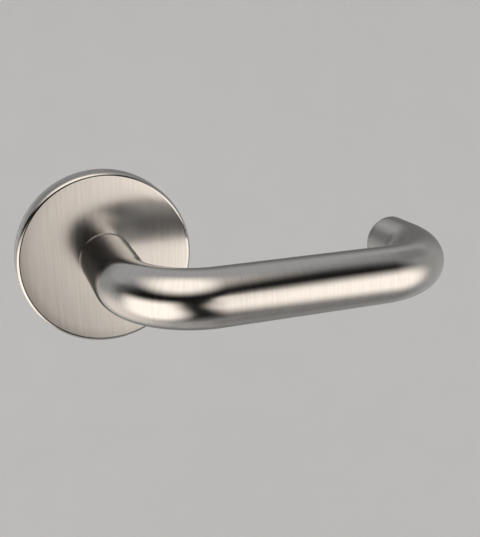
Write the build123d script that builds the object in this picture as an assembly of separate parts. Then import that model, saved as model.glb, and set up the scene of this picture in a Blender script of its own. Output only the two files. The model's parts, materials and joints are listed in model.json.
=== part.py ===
from build123d import *
import math
import os

# Door lever handle: a bent tube lever that turns in a sprung, bolt-through round rose.
# The origin is on the spindle axis at the door face. +X runs along the lever, +Y goes into the door
# and +Z is up, so the visible handle stands on the -Y side. All sizes are millimetres and degrees.
# An angle is read as seen from the front of the door: 0 points along the lever, 90 points up.

# Lever
TUBE_D = 20.0             # outside diameter of the lever tube
TUBE_WALL = 1.5           # wall of the lever tube
LEVER_PROJECTION = 64.5   # door face to the centre line of the grip
LEVER_REACH = 112.0       # spindle axis to the centre line of the return
BEND_R = 26.0             # centre-line radius of both bends
RETURN_GAP = 26.0         # door face to the end of the return
TUBE_EDGE_R = 0.6         # rounding of the tube's open edge at the return
END_CAP_T = 4.0           # length of the plug that closes the return
END_CAP_DISH = 0.4        # how far the plug's face sits inside the tube
LEVER_TRAVEL = 45.0       # turn from rest to fully pressed

# Rose and door
DOOR_BORE = 54.0          # cross bore in the door that the spring housing enters
ROSE_OVERLAP = 6.0        # how far the rose reaches past that bore, all round
ROSE_H = 9.5              # door face to the front of the rose
ROSE_WALL = 1.2           # sheet of the cover
ROSE_EDGE_R = 1.2         # outside rounding of the cover's front edge
NECK_GAP = 0.12           # radial gap between the neck and the hole in the cover
HOLE_EDGE = 0.2           # bevel on that hole
PLATE_T = 3.0             # mounting plate
PLATE_RECESS = 0.6        # depth of the recess in its back that centres the spring housing

# Spindle, neck core and its fasteners
SPINDLE_W = 8.0           # square spindle across flats
SPINDLE_REACH = 50.0      # how far the spindle enters the door
SPINDLE_CHAMFER = 0.8
SOCKET_DEPTH = 27.0       # door face to the floor of the square socket
SOCKET_FLOOR = 5.0        # solid core in front of that floor
JOURNAL_D = 16.0          # rear bearing journal of the neck core
DRIVE_FLATS = 13.0        # across the two flats that carry the drive plate
CORE_TAIL = 1.2           # core left behind the circlip
GRUB_D = 6.0              # set screw under the neck
GRUB_OFFSET = 8.0         # its distance from the front of the rose
GRUB_RECESS = 0.8         # its end below the tube's surface
GRUB_KEY = 3.0            # hexagon socket across flats
GRUB_KEY_DEPTH = 2.6
CIRCLIP_T = 1.2
CIRCLIP_GROOVE = 0.8      # depth of its groove in the journal
CIRCLIP_RIM = 1.9         # how far it stands out of the journal
CIRCLIP_MOUTH = 7.0       # opening between its ears
CIRCLIP_EAR_R = 1.7
CIRCLIP_EAR_HOLE_R = 0.7
DISC_SPRING_T = 0.5       # sheet of the conical washer that takes up end play
DISC_SPRING_H = 0.8       # its free height
DISC_SPRING_RIM = 3.0     # its radial width

# Bearings and spring housing
FRONT_BUSH_WALL = 1.5
FRONT_LIP_T = 1.0         # inward lip that takes the push on the lever
REAR_BUSH_WALL = 1.2
REAR_FLANGE_T = 0.8       # flange that takes the pull on the lever
FRONT_HUB_WALL = 1.5
SLEEVE_WALL = 1.8         # hub sleeve inside the return spring
WEB_T = 3.0               # floor of the housing, against the mounting plate
BORE_CLEARANCE = 0.5      # radial, between the housing and the door's bore
HOUSING_WALL = 2.0
HOUSING_SHROUD = 0.6      # how far the housing stands behind the drive plate
HOUSING_EDGE = 0.6        # bevel on its rear rim

# Return spring and drive plate
WIRE_W = 1.8              # spring wire, radial
WIRE_H = 1.6              # spring wire, axial
COIL_GAP = 0.1            # between neighbouring coils
SPRING_PLAY = 0.1         # beyond the leg at each end of the coil
SPRING_BORE_GAP = 0.4     # between the coil and the hub sleeve
WHOLE_TURNS = 3
FIXED_LEG_ANGLE = 200.0   # where the coil's front end leaves the circle
MOVING_LEG_ANGLE = 353.0  # where its rear end leaves it, at rest
LEG_LENGTH = 10.0
LEG_CONTACT = 8.0         # along a leg, where the pin or the tab bears on it
DRIVE_T = 2.0             # sheet of the drive plate
DRIVE_RIM = 0.3           # how far its disc covers the coil's outside
ARM_W = 8.0               # stop arm
ARM_GAP = 0.8             # between the arm's end and the housing
ARM_CORNER_R = 1.5        # rounding of the arm's end
TAB_W = 4.0               # bent tab that pushes the spring leg
TAB_DROP = 3.0
TAB_BEND_R = 1.6          # outside of the tab's bend

# Pins, bumpers, screws and bolts
PIN_D = 3.0
BUMPER_WALL = 1.5         # soft sleeve on each stop pin
BUMPER_SKIRT = 0.6        # how far a bumper starts in front of the stop arm
STOP_WALL_GAP = 0.6       # between a bumper and the housing wall
STOP_PLAY = 0.1           # between an arm and its bumper, and between a leg and what it pushes
PIN_BOSS_WALL = 2.6
SCREW_D = 3.0             # countersunk screws that hold the housing to the plate
SCREW_HEAD_D = 5.8
SCREW_BOSS_WALL = 1.3
SCREW_BOSS_H = 3.0
SCREW_BOSS_SINK = 0.8     # how far a screw boss runs into the housing wall
SCREW_ANGLES = (90.0, 210.0, 330.0)
SCREW_KEY = 2.0
BOLT_PITCH = 38.0         # between the two through-bolts
BOLT_D = 5.0              # thread on the free length
BOLT_WAIST_D = 4.4        # plain shank inside the plate and the housing
BOLT_REACH = 42.0         # how far a bolt enters the door
BOLT_HEAD_D = 8.5
BOLT_HEAD_H = 3.4
BOLT_KEY = 3.0
BOLT_KEY_DEPTH = 2.0
BOLT_HOLE_GAP = 0.25      # radial
BOLT_BOSS_WALL = 1.4
BOLT_THREAD_GAP = 1.0     # between the housing and the start of the thread
LOCK_WASHER_T = 1.2
LOCK_WASHER_RIM = 1.5     # radial width
LOCK_WASHER_SLIT = 0.8
SNAP_RING_T = 1.2         # square wire of the ring that holds the cover
SNAP_RING_BITE = 0.35     # how far it enters the cover's wall
SNAP_RING_MOUTH = 12.0

# Fits
RUN = 0.05                # radial or axial running clearance
SLIP = 0.2                # assembly clearance between fixed pieces
THREAD = 0.02             # radial play of a screw in its thread

# Radii that several pieces share
tube_r = TUBE_D / 2
tube_bore_r = tube_r - TUBE_WALL
journal_r = JOURNAL_D / 2
rose_r = DOOR_BORE / 2 + ROSE_OVERLAP
cover_bore_r = rose_r - ROSE_WALL
plate_r = cover_bore_r - SLIP
flange_r = DOOR_BORE / 2
housing_r = flange_r - BORE_CLEARANCE
cavity_r = housing_r - HOUSING_WALL
front_bush_r = tube_r + RUN + FRONT_BUSH_WALL
front_hub_r = front_bush_r + FRONT_HUB_WALL
rear_bush_r = journal_r + RUN + REAR_BUSH_WALL
sleeve_r = rear_bush_r + SLEEVE_WALL
coil_r = sleeve_r + SPRING_BORE_GAP + WIRE_W / 2
leg_face_r = coil_r + WIRE_W / 2
pin_r = PIN_D / 2
bumper_r = pin_r + BUMPER_WALL
stop_r = cavity_r - STOP_WALL_GAP - bumper_r
bolt_boss_r = BOLT_D / 2 + BOLT_HOLE_GAP + BOLT_BOSS_WALL
screw_boss_r = SCREW_D / 2 + SCREW_BOSS_WALL
screw_circle_r = cavity_r - screw_boss_r + SCREW_BOSS_SINK
groove_r = journal_r - CIRCLIP_GROOVE

# Depths along the spindle axis that several pieces share
cover_floor_y = -(ROSE_H - ROSE_WALL)
hub_front_y = cover_floor_y + SLIP
web_front_y = -PLATE_RECESS
web_back_y = web_front_y + WEB_T
tube_end_y = web_front_y - FRONT_LIP_T - RUN
coil_turns = WHOLE_TURNS + (FIXED_LEG_ANGLE - MOVING_LEG_ANGLE) / 360
coil_pitch = WIRE_H + COIL_GAP
coil_rise = coil_turns * coil_pitch
leg_fall = LEG_LENGTH * coil_pitch / (2 * math.pi * coil_r)
coil_front_y = web_back_y + SPRING_PLAY + leg_fall
drive_y = coil_front_y + coil_rise + WIRE_H + leg_fall + SPRING_PLAY
drive_back_y = drive_y + DRIVE_T
sleeve_end_y = drive_y - RUN - REAR_FLANGE_T
housing_back_y = drive_back_y + HOUSING_SHROUD
circlip_y = drive_back_y + DISC_SPRING_H
core_end_y = circlip_y + CIRCLIP_T + CORE_TAIL
bumper_y = drive_y - BUMPER_SKIRT
screw_boss_y = web_back_y + SCREW_BOSS_H
grub_y = -(ROSE_H + GRUB_OFFSET)
snap_ring_y = -PLATE_T / 2
snap_groove_front_y = snap_ring_y - SNAP_RING_T / 2 - RUN
snap_groove_back_y = snap_ring_y + SNAP_RING_T / 2 + RUN

# Angles of the stop arm and of the two stops, at rest
arm_angle = 90 + LEVER_TRAVEL / 2
stop_lead = math.degrees(math.asin((ARM_W / 2 + bumper_r + STOP_PLAY) / stop_r))
stop_angles = (arm_angle + stop_lead, arm_angle - LEVER_TRAVEL - stop_lead)


def spot(radius, angle):
    """The x and z of a point on a circle about the spindle axis."""
    return radius * math.cos(math.radians(angle)), radius * math.sin(math.radians(angle))


def leg_spot(angle, out, along):
    """The x and z of a point beside a spring leg: out from the axis, then anticlockwise along the leg."""
    base_x, base_z = spot(out, angle)
    run_x, run_z = spot(along, angle + 90)
    return base_x + run_x, base_z + run_z


def turned(*profile):
    """A solid of revolution about the spindle axis from (radius, y) points."""
    return revolve(make_face(Polyline(*profile, close=True)), Axis.Y)


def rod(radius, y_front, y_back, at=(0.0, 0.0)):
    """A round bar parallel to the spindle axis, at the x and z given."""
    base = Plane(origin=(at[0], y_front, at[1]), x_dir=(1, 0, 0), z_dir=(0, 1, 0))
    return extrude(base * Circle(radius), amount=y_back - y_front)


def slab(outline, y_front, y_back):
    """An outline, drawn as seen from the front with x right and z up, given a thickness."""
    base = Plane(origin=(0, y_back, 0), x_dir=(1, 0, 0), z_dir=(0, -1, 0))
    return extrude(base * outline, amount=y_back - y_front)


def bar(width, height, y_front, y_back):
    """A square or rectangular bar centred on the spindle axis."""
    return slab(Rectangle(width, height), y_front, y_back)


def bolt_spots():
    return [(-BOLT_PITCH / 2, 0.0), (BOLT_PITCH / 2, 0.0)]


def screw_spots():
    return [spot(screw_circle_r, angle) for angle in SCREW_ANGLES]


def stop_spots():
    return [spot(stop_r, angle) for angle in stop_angles]


def anchor_spot():
    return leg_spot(FIXED_LEG_ANGLE, leg_face_r + STOP_PLAY + pin_r, LEG_CONTACT)


def grub_hole(z_low, radius):
    """A round bar square to the neck, from the spindle's lower flat down to z_low."""
    z_high = -SPINDLE_W / 2
    base = Plane(origin=(0, grub_y, z_low), x_dir=(1, 0, 0), z_dir=(0, 0, 1))
    return extrude(base * Circle(radius), amount=z_high - z_low)


# Lever


def lever_tube():
    """One length of tube with two right-angle bends in the level plane."""
    return_end_y = -RETURN_GAP
    path = FilletPolyline(
        (0, tube_end_y, 0),
        (0, -LEVER_PROJECTION, 0),
        (LEVER_REACH, -LEVER_PROJECTION, 0),
        (LEVER_REACH, return_end_y, 0),
        radius=BEND_R,
    )
    mouth = Plane(origin=path @ 0, z_dir=path % 0)
    tube = sweep(mouth * (Circle(tube_r) - Circle(tube_bore_r)), path=path)
    rim = [
        edge
        for edge in tube.edges().filter_by(GeomType.CIRCLE)
        if abs(edge.center().Y - return_end_y) < RUN and edge.radius > tube_bore_r + RUN
    ]
    tube = fillet(rim, TUBE_EDGE_R)
    return tube - grub_hole(-2 * tube_r, GRUB_D / 2 + THREAD)


def return_end_cap():
    """The dished plug that closes the return, with a lead-in at its inner end."""
    back_y = -(RETURN_GAP + END_CAP_DISH)
    plug = turned(
        (0, back_y - END_CAP_T),
        (tube_bore_r - TUBE_EDGE_R, back_y - END_CAP_T),
        (tube_bore_r, back_y - END_CAP_T + TUBE_EDGE_R),
        (tube_bore_r, back_y),
        (0, back_y),
    )
    return Pos(LEVER_REACH, 0, 0) * plug


def neck_core():
    """The steel core pressed into the neck, with socket, rear journal, drive flats and circlip groove."""
    core = rod(tube_bore_r, -(SOCKET_DEPTH + SOCKET_FLOOR), tube_end_y)
    core += rod(journal_r, tube_end_y, core_end_y)
    core -= bar(SPINDLE_W + 2 * RUN, SPINDLE_W + 2 * RUN, -SOCKET_DEPTH, core_end_y)
    drive_flats = bar(2 * JOURNAL_D, 2 * JOURNAL_D, drive_y, core_end_y)
    drive_flats -= bar(2 * JOURNAL_D, DRIVE_FLATS, drive_y, core_end_y)
    core -= drive_flats
    groove_back_y = circlip_y + CIRCLIP_T + RUN
    core -= rod(2 * journal_r, circlip_y, groove_back_y) - rod(groove_r, circlip_y, groove_back_y)
    return core - grub_hole(-tube_r, GRUB_D / 2 + THREAD)


def grub_screw():
    """The set screw that clamps the spindle, with its hexagon socket facing down."""
    z_low = -(tube_r - GRUB_RECESS)
    screw = grub_hole(z_low, GRUB_D / 2)
    ends = screw.edges().filter_by(GeomType.CIRCLE)
    screw = chamfer(ends, GRUB_D / 12)
    mouth = Plane(origin=(0, grub_y, z_low), x_dir=(1, 0, 0), z_dir=(0, 0, 1))
    key_corner_r = GRUB_KEY / math.sqrt(3)
    return screw - extrude(mouth * RegularPolygon(key_corner_r, 6), amount=GRUB_KEY_DEPTH)


def spindle():
    square = bar(SPINDLE_W, SPINDLE_W, -SOCKET_DEPTH, SPINDLE_REACH)
    ends = square.faces().sort_by(Axis.Y)
    return chamfer(ends[0].edges() + ends[-1].edges(), SPINDLE_CHAMFER)


def drive_plate():
    """The stamped plate on the core: a disc over the spring, a stop arm and a tab for the spring leg."""
    arm_end_r = cavity_r - ARM_GAP
    tab_out_r = leg_face_r + STOP_PLAY + DRIVE_T
    tab_along = -LEG_CONTACT
    blank = Circle(leg_face_r + DRIVE_RIM)
    arm = Rectangle(arm_end_r, ARM_W, align=(Align.MIN, Align.CENTER)) & Circle(arm_end_r)
    blank += Rot(0, 0, arm_angle) * arm
    tongue = Pos(0, tab_along) * Rectangle(tab_out_r, TAB_W, align=(Align.MIN, Align.CENTER))
    blank += Rot(0, 0, MOVING_LEG_ANGLE) * tongue
    blank -= Circle(journal_r + RUN) & Rectangle(2 * JOURNAL_D, DRIVE_FLATS + 2 * RUN)
    plate = slab(blank, drive_y, drive_back_y)
    arm_corners = [
        edge
        for edge in plate.edges().filter_by(Axis.Y)
        if math.hypot(edge.center().X, edge.center().Z) > arm_end_r - RUN
    ]
    plate = fillet(arm_corners, ARM_CORNER_R)
    tab = Pos(tab_out_r, tab_along) * Rectangle(DRIVE_T, TAB_W, align=(Align.MAX, Align.CENTER))
    plate += slab(Rot(0, 0, MOVING_LEG_ANGLE) * tab, drive_y - TAB_DROP, drive_y)
    bend_x, bend_z = leg_spot(MOVING_LEG_ANGLE, tab_out_r, tab_along)
    bend = plate.edges().filter_by(GeomType.LINE).sort_by_distance((bend_x, drive_back_y, bend_z))[0]
    return fillet(bend, TAB_BEND_R)


def disc_spring():
    """The conical washer between the drive plate and the circlip."""
    inner_r = journal_r + SLIP
    outer_r = inner_r + DISC_SPRING_RIM
    return turned(
        (outer_r, drive_back_y),
        (outer_r, drive_back_y + DISC_SPRING_T),
        (inner_r, drive_back_y + DISC_SPRING_H),
        (inner_r, drive_back_y + DISC_SPRING_H - DISC_SPRING_T),
    )


def circlip():
    """The retaining ring in the core's groove, with an eared mouth pointing down."""
    outer_r = journal_r + CIRCLIP_RIM
    ring = Circle(outer_r)
    ear_x = CIRCLIP_MOUTH / 2 + CIRCLIP_EAR_R
    ear_z = -math.sqrt(outer_r**2 - ear_x**2)
    for side in (-1, 1):
        ring += Pos(side * ear_x, ear_z) * Circle(CIRCLIP_EAR_R)
    ring -= Circle(groove_r + THREAD)
    ring -= Rectangle(CIRCLIP_MOUTH, 2 * outer_r, align=(Align.CENTER, Align.MAX))
    for side in (-1, 1):
        ring -= Pos(side * ear_x, ear_z) * Circle(CIRCLIP_EAR_HOLE_R)
    return slab(ring, circlip_y, circlip_y + CIRCLIP_T)


# Rose


def cover_rose():
    """The drawn cap that hides the mechanism, with a snap groove inside its skirt."""
    cup = rod(rose_r, -ROSE_H, 0)
    front = cup.edges().filter_by(GeomType.CIRCLE).sort_by(Axis.Y)[0]
    cup = fillet(front, ROSE_EDGE_R)
    cup -= rod(cover_bore_r, cover_floor_y, 0)
    cup -= rod(cover_bore_r + SNAP_RING_BITE + RUN, snap_groove_front_y, snap_groove_back_y)
    hole_r = tube_r + NECK_GAP
    cup -= rod(hole_r, -ROSE_H, cover_floor_y)
    return cup - turned(
        (0, -ROSE_H),
        (hole_r + HOLE_EDGE, -ROSE_H),
        (hole_r, -ROSE_H + HOLE_EDGE),
        (0, -ROSE_H + HOLE_EDGE),
    )


def cover_snap_ring():
    """The open spring ring between the mounting plate and the cover."""
    outer_r = cover_bore_r + SNAP_RING_BITE
    ring = Circle(outer_r) - Circle(outer_r - SNAP_RING_T)
    ring -= Rectangle(SNAP_RING_MOUTH, 2 * outer_r, align=(Align.CENTER, Align.MAX))
    return slab(ring, snap_ring_y - SNAP_RING_T / 2, snap_ring_y + SNAP_RING_T / 2)


def mounting_plate():
    """The steel plate that the bolts pull against the door, grooved round its rim for the snap ring."""
    plate = rod(plate_r, -PLATE_T, 0) - rod(front_hub_r + SLIP, -PLATE_T, 0)
    plate -= rod(flange_r + SLIP, web_front_y, 0)
    groove_floor_r = cover_bore_r + SNAP_RING_BITE - SNAP_RING_T - SLIP
    groove = rod(rose_r, snap_groove_front_y, snap_groove_back_y)
    plate -= groove - rod(groove_floor_r, snap_groove_front_y, snap_groove_back_y)
    for at in bolt_spots():
        plate -= rod(BOLT_D / 2 + BOLT_HOLE_GAP, -PLATE_T, 0, at)
    for at in screw_spots():
        plate -= countersunk(SCREW_D / 2 + SLIP, SCREW_HEAD_D / 2 + THREAD, 0, at)
    return plate


def countersunk(shank_r, head_r, y_back, at):
    """A countersunk screw's outline with its head flush in the front of the mounting plate."""
    head_h = head_r - shank_r
    return Pos(at[0], 0, at[1]) * turned(
        (0, -PLATE_T),
        (head_r, -PLATE_T),
        (shank_r, -PLATE_T + head_h),
        (shank_r, y_back),
        (0, y_back),
    )


def housing_screws():
    """The countersunk screws that hold the spring housing to the mounting plate."""
    tip_y = screw_boss_y - SLIP
    key = RegularPolygon(SCREW_KEY / math.sqrt(3), 6)
    screws = []
    for at in screw_spots():
        screw = countersunk(SCREW_D / 2, SCREW_HEAD_D / 2, tip_y, at)
        screw -= slab(Pos(*at) * key, -PLATE_T, -PLATE_T / 2)
        screws.append(screw.solid())
    return Compound(children=screws)


def spring_housing():
    """The cast housing: front hub, flanged web, outer wall, hub sleeve and bosses."""
    cup = rod(housing_r, web_front_y, housing_back_y)
    rim = cup.edges().filter_by(GeomType.CIRCLE).sort_by(Axis.Y)[-1]
    cup = chamfer(rim, HOUSING_EDGE)
    cup += rod(flange_r, web_front_y, 0)
    cup -= rod(cavity_r, web_back_y, housing_back_y)
    cup += rod(front_hub_r, hub_front_y, web_front_y)
    cup += rod(sleeve_r, web_back_y, sleeve_end_y)
    for at in bolt_spots():
        cup += rod(bolt_boss_r, web_back_y, housing_back_y, at)
    for at in screw_spots():
        cup += rod(screw_boss_r, web_back_y, screw_boss_y, at)
    for at in stop_spots():
        cup += rod(pin_r + PIN_BOSS_WALL, web_back_y, bumper_y, at)
    cup -= rod(front_bush_r, hub_front_y, web_front_y)
    cup -= rod(rear_bush_r, web_front_y, sleeve_end_y)
    for at in bolt_spots():
        cup -= rod(BOLT_D / 2 + BOLT_HOLE_GAP, web_front_y, housing_back_y, at)
    for at in screw_spots():
        cup -= rod(SCREW_D / 2 + THREAD, web_front_y, screw_boss_y, at)
    for at in [*stop_spots(), anchor_spot()]:
        cup -= rod(pin_r, web_front_y, bumper_y, at)
    return cup


def front_bush():
    """The bush that carries the neck, with a lip behind the tube's end."""
    lip_y = web_front_y - FRONT_LIP_T
    return turned(
        (tube_r + RUN, hub_front_y),
        (front_bush_r, hub_front_y),
        (front_bush_r, web_front_y),
        (journal_r + SLIP, web_front_y),
        (journal_r + SLIP, lip_y),
        (tube_r + RUN, lip_y),
    )


def rear_bush():
    """The flanged bush that carries the journal inside the hub sleeve."""
    flange_y = drive_y - RUN
    return turned(
        (journal_r + RUN, web_front_y),
        (rear_bush_r, web_front_y),
        (rear_bush_r, sleeve_end_y),
        (sleeve_r, sleeve_end_y),
        (sleeve_r, flange_y),
        (journal_r + RUN, flange_y),
    )


def return_spring():
    """The torsion spring: a flat-wire coil whose two ends run straight on as legs."""
    start_x, start_z = spot(1, FIXED_LEG_ANGLE)
    axis_y = coil_front_y + WIRE_H / 2
    base = Plane(origin=(0, axis_y, 0), x_dir=(start_x, 0, start_z), z_dir=(0, 1, 0))
    path = base * Helix(pitch=coil_pitch, height=coil_rise, radius=coil_r)
    section = Plane(origin=path @ 0, x_dir=(start_x, 0, start_z), z_dir=path % 0)
    coil = sweep(section * Rectangle(WIRE_W, WIRE_H), path=path, is_frenet=True)
    spring = coil
    for end in (path @ 0, path @ 1):
        cut_face = coil.faces().filter_by(GeomType.PLANE).sort_by_distance(end)[0]
        spring += extrude(cut_face, amount=LEG_LENGTH)
    return spring


def spring_anchor_pin():
    return rod(pin_r, web_front_y, coil_front_y + 2 * WIRE_H, anchor_spot())


def stop_pins():
    """The two dowels that end the lever's travel."""
    pins = [rod(pin_r, web_front_y, housing_back_y, at) for at in stop_spots()]
    return Compound(children=[pin.solid() for pin in pins])


def stop_bumpers():
    """A soft sleeve on each stop pin, standing on the pin's boss."""
    sleeves = []
    for at in stop_spots():
        sleeve = rod(bumper_r, bumper_y, housing_back_y, at)
        sleeve -= rod(pin_r, bumper_y, housing_back_y, at)
        sleeves.append(sleeve.solid())
    return Compound(children=sleeves)


def fixing_bolts():
    """The two through-bolts, with heads in front of the mounting plate and threads on the free length."""
    seat_y = -(PLATE_T + LOCK_WASHER_T)
    front_y = seat_y - BOLT_HEAD_H
    thread_y = housing_back_y + BOLT_THREAD_GAP
    key = RegularPolygon(BOLT_KEY / math.sqrt(3), 6)
    bolts = []
    for at in bolt_spots():
        bolt = rod(BOLT_HEAD_D / 2, front_y, seat_y, at)
        bolt += rod(BOLT_WAIST_D / 2, seat_y, thread_y, at)
        bolt += rod(BOLT_D / 2, thread_y, BOLT_REACH, at)
        tip = bolt.edges().filter_by(GeomType.CIRCLE).sort_by(Axis.Y)[-1]
        bolt = chamfer(tip, BOLT_D / 10)
        bolt -= slab(Pos(*at) * key, front_y, front_y + BOLT_KEY_DEPTH)
        bolts.append(bolt.solid())
    return Compound(children=bolts)


def bolt_lock_washers():
    """The split washers under the bolt heads."""
    inner_r = BOLT_D / 2 + RUN
    washers = []
    for at in bolt_spots():
        ring = Circle(inner_r + LOCK_WASHER_RIM) - Circle(inner_r)
        ring -= Rectangle(LOCK_WASHER_SLIT, BOLT_HEAD_D, align=(Align.CENTER, Align.MIN))
        washer = slab(Pos(*at) * ring, -(PLATE_T + LOCK_WASHER_T), -PLATE_T)
        washers.append(washer.solid())
    return Compound(children=washers)


PIECES = (
    lever_tube,
    return_end_cap,
    neck_core,
    grub_screw,
    spindle,
    drive_plate,
    disc_spring,
    circlip,
    cover_rose,
    cover_snap_ring,
    mounting_plate,
    housing_screws,
    spring_housing,
    front_bush,
    rear_bush,
    return_spring,
    spring_anchor_pin,
    stop_pins,
    stop_bumpers,
    fixing_bolts,
    bolt_lock_washers,
)

os.makedirs("parts", exist_ok=True)
for piece in PIECES:
    export_step(piece(), os.path.join("parts", piece.__name__ + ".step"))
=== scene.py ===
# %% [markdown]
# # A satin steel door lever on a round rose
#
# Two pieces of this handle show from the room: a bent tube, and the drawn cap that it turns in. Behind
# the cap sits a small sprung machine that shows only from the door side. The packed model has every piece
# at its real size and place. This lesson gives each one its surface: smooth meshes in place of facets,
# real threads and wire, eased edges, and a finish mixed from shader nodes.

# %% Load the packed model
import json
import math

import bmesh
import bpy
from mathutils import Matrix, Vector


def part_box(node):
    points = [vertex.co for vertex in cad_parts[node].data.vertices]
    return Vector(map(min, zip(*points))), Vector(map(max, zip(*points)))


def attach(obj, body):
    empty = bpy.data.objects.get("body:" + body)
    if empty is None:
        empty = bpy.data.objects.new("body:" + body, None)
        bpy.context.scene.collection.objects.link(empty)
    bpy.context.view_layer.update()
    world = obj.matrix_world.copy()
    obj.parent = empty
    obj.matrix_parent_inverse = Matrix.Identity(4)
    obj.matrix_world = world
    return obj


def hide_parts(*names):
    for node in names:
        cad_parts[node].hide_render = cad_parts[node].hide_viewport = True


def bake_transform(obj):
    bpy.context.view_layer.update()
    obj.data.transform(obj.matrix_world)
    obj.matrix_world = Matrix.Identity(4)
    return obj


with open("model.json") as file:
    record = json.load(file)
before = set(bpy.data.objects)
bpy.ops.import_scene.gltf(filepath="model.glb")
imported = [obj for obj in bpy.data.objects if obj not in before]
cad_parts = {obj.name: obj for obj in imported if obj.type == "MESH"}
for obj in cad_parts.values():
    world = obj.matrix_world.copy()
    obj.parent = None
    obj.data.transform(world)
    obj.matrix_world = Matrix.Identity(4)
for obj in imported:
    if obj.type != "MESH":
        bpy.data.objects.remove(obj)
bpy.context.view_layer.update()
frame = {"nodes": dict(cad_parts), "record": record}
MM = 0.001

# %% [markdown]
# ## The camera
#
# The picture looks at the handle from its left and from a little above, close enough that the near bend
# looks larger than the far one. The outlines of the rose and the tube fix where the lens stood, so its
# place and its three turns are written as measured. A camera could also be aimed with a Track To
# constraint, but that would lose the small roll.

# %% Set the camera
CAMERA_PLACE = Vector((-44.26, -275.36, 81.08)) * MM
CAMERA_SWING = 20.207  # degrees to the right of looking straight at the door
CAMERA_TIP = 16.741  # degrees below level
CAMERA_ROLL = 0.558  # degrees clockwise
CAMERA_LENS = 49.115  # millimetres, on the usual 36 mm sensor
FRAME_HEIGHT = 537  # pixels
FRAME_DROP = 14  # pixels from the middle of the frame up to the lens's own axis

camera = bpy.data.objects.new("camera", bpy.data.cameras.new("camera"))
bpy.context.scene.collection.objects.link(camera)
swing = Matrix.Rotation(math.radians(-CAMERA_SWING), 4, "Z")
tip = Matrix.Rotation(math.radians(90 - CAMERA_TIP), 4, "X")
roll = Matrix.Rotation(math.radians(-CAMERA_ROLL), 4, "Z")
camera.matrix_world = Matrix.Translation(CAMERA_PLACE) @ swing @ tip @ roll
camera.data.lens = CAMERA_LENS
camera.data.shift_y = -FRAME_DROP / FRAME_HEIGHT
bpy.context.scene.camera = camera
print("camera is", round(CAMERA_PLACE.length, 3), "m from the spindle axis at the door face")

# %% [markdown]
# ## Shader maths as Python
#
# A finish is a small sum: a base roughness, plus a little noise, less some wear. Joining Math nodes by
# hand hides that sum, so one class wraps an output socket and lets Python's own operators add the nodes.
# The reflected forms make `1 - mask` work as well as `mask - 1`.

# %% A socket that does arithmetic
class Field:
    """An output socket of a finish. Arithmetic on it adds Math nodes to that finish."""

    def __init__(self, finish, socket):
        self.finish = finish
        self.socket = socket

    def math(self, operation, first, second):
        return self.finish.node("Math", {"operation": operation}, {0: first, 1: second})

    def __add__(self, other):
        return self.math("ADD", self, other)

    def __radd__(self, other):
        return self.math("ADD", other, self)

    def __sub__(self, other):
        return self.math("SUBTRACT", self, other)

    def __rsub__(self, other):
        return self.math("SUBTRACT", other, self)

    def __mul__(self, other):
        return self.math("MULTIPLY", self, other)

    def __rmul__(self, other):
        return self.math("MULTIPLY", other, self)


print("operators ready:", "+ - *")

# %% [markdown]
# ## One method for every node
#
# A finish owns one Principled shader. Every other node of it comes from one method, which takes the
# node's type, the settings that have to come first, and a value or a link for each socket. What stays the
# same all over a surface is set on the shader's own socket, and only what varies is linked to it.

# %% A finish and its nodes
class Finish:
    """A material in the making, built round its Principled shader."""

    def __init__(self, name, constants):
        self.material = bpy.data.materials.new(name)
        self.material.use_nodes = True
        self.tree = self.material.node_tree
        self.shader = self.tree.nodes["Principled BSDF"]
        self.wire(self.shader, constants)

    def wire(self, node, sockets):
        """Links each field to its socket of a node, and sets the other sockets to plain values."""
        for key, value in sockets.items():
            if isinstance(value, Field):
                self.tree.links.new(value.socket, node.inputs[key])
            else:
                node.inputs[key].default_value = value

    def node(self, kind, settings, sockets, output=0):
        """Adds a node and gives one of its outputs."""
        node = self.tree.nodes.new("ShaderNode" + kind)
        for key, value in settings.items():
            setattr(node, key, value)
        self.wire(node, sockets)
        return Field(self, node.outputs[output])

    def feed(self, sockets):
        """Gives the shader what varies over the surface."""
        self.wire(self.shader, sockets)

    def place(self):
        """Where a point is in its object's own frame, in metres."""
        return self.node("TexCoord", {}, {}, "Object")

    def from_axis(self):
        """How far a point is from the spindle axis, in metres."""
        flat = self.stretched(self.place(), (1, 0, 1))
        return self.node("VectorMath", {"operation": "LENGTH"}, {0: flat}, "Value")

    def stored(self, name, output):
        """A value that the mesh carries at each point."""
        return self.node("Attribute", {"attribute_name": name}, {}, output)

    def stretched(self, vector, scale):
        """A vector with each of its three parts made longer or shorter."""
        return self.node("VectorMath", {"operation": "MULTIPLY"}, {0: vector, 1: scale})

    def noise(self, vector, scale, detail=2.0):
        """Noise from -0.5 to 0.5 about, whose lumps are 1 / scale metres across."""
        sockets = {"Vector": self.stretched(vector, scale), "Scale": 1.0, "Detail": detail}
        return self.node("TexNoise", {}, sockets) - 0.5

    def ramp(self, value, low, high):
        """0 below low, 1 above high, and a smooth step between."""
        sockets = {"Value": value, "From Min": low, "From Max": high}
        return self.node("MapRange", {"interpolation_type": "SMOOTHSTEP"}, sockets)

    def mixed(self, factor, first, second):
        """A colour between two."""
        return self.node("Mix", {"data_type": "RGBA"}, {0: factor, 6: first, 7: second}, 2)

    def bump(self, height):
        """A normal that leans with a height in metres."""
        return self.node("Bump", {}, {"Height": height, "Distance": 1.0, "Strength": 1.0})


print("a finish can:", [name for name in vars(Finish) if not name.startswith("_")])

# %% [markdown]
# ## The studio
#
# Satin steel has hardly a colour of its own: it shows the room. The room is a pale round bowl, flat in
# the middle and curving up at its rim into an upright wall, so that there is a quiet pale ground behind
# the handle from every side. A flat plane would end in a horizon line.

# %% Pale bowl
FLOOR_Z = -2.8  # metres, as are the next three
FLOOR_FLAT = 4.4
FLOOR_CURVE = 3.6
WALL_TOP = 4.0
FLOOR_STEPS = 24
FLOOR_SEGMENTS = 96


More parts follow.
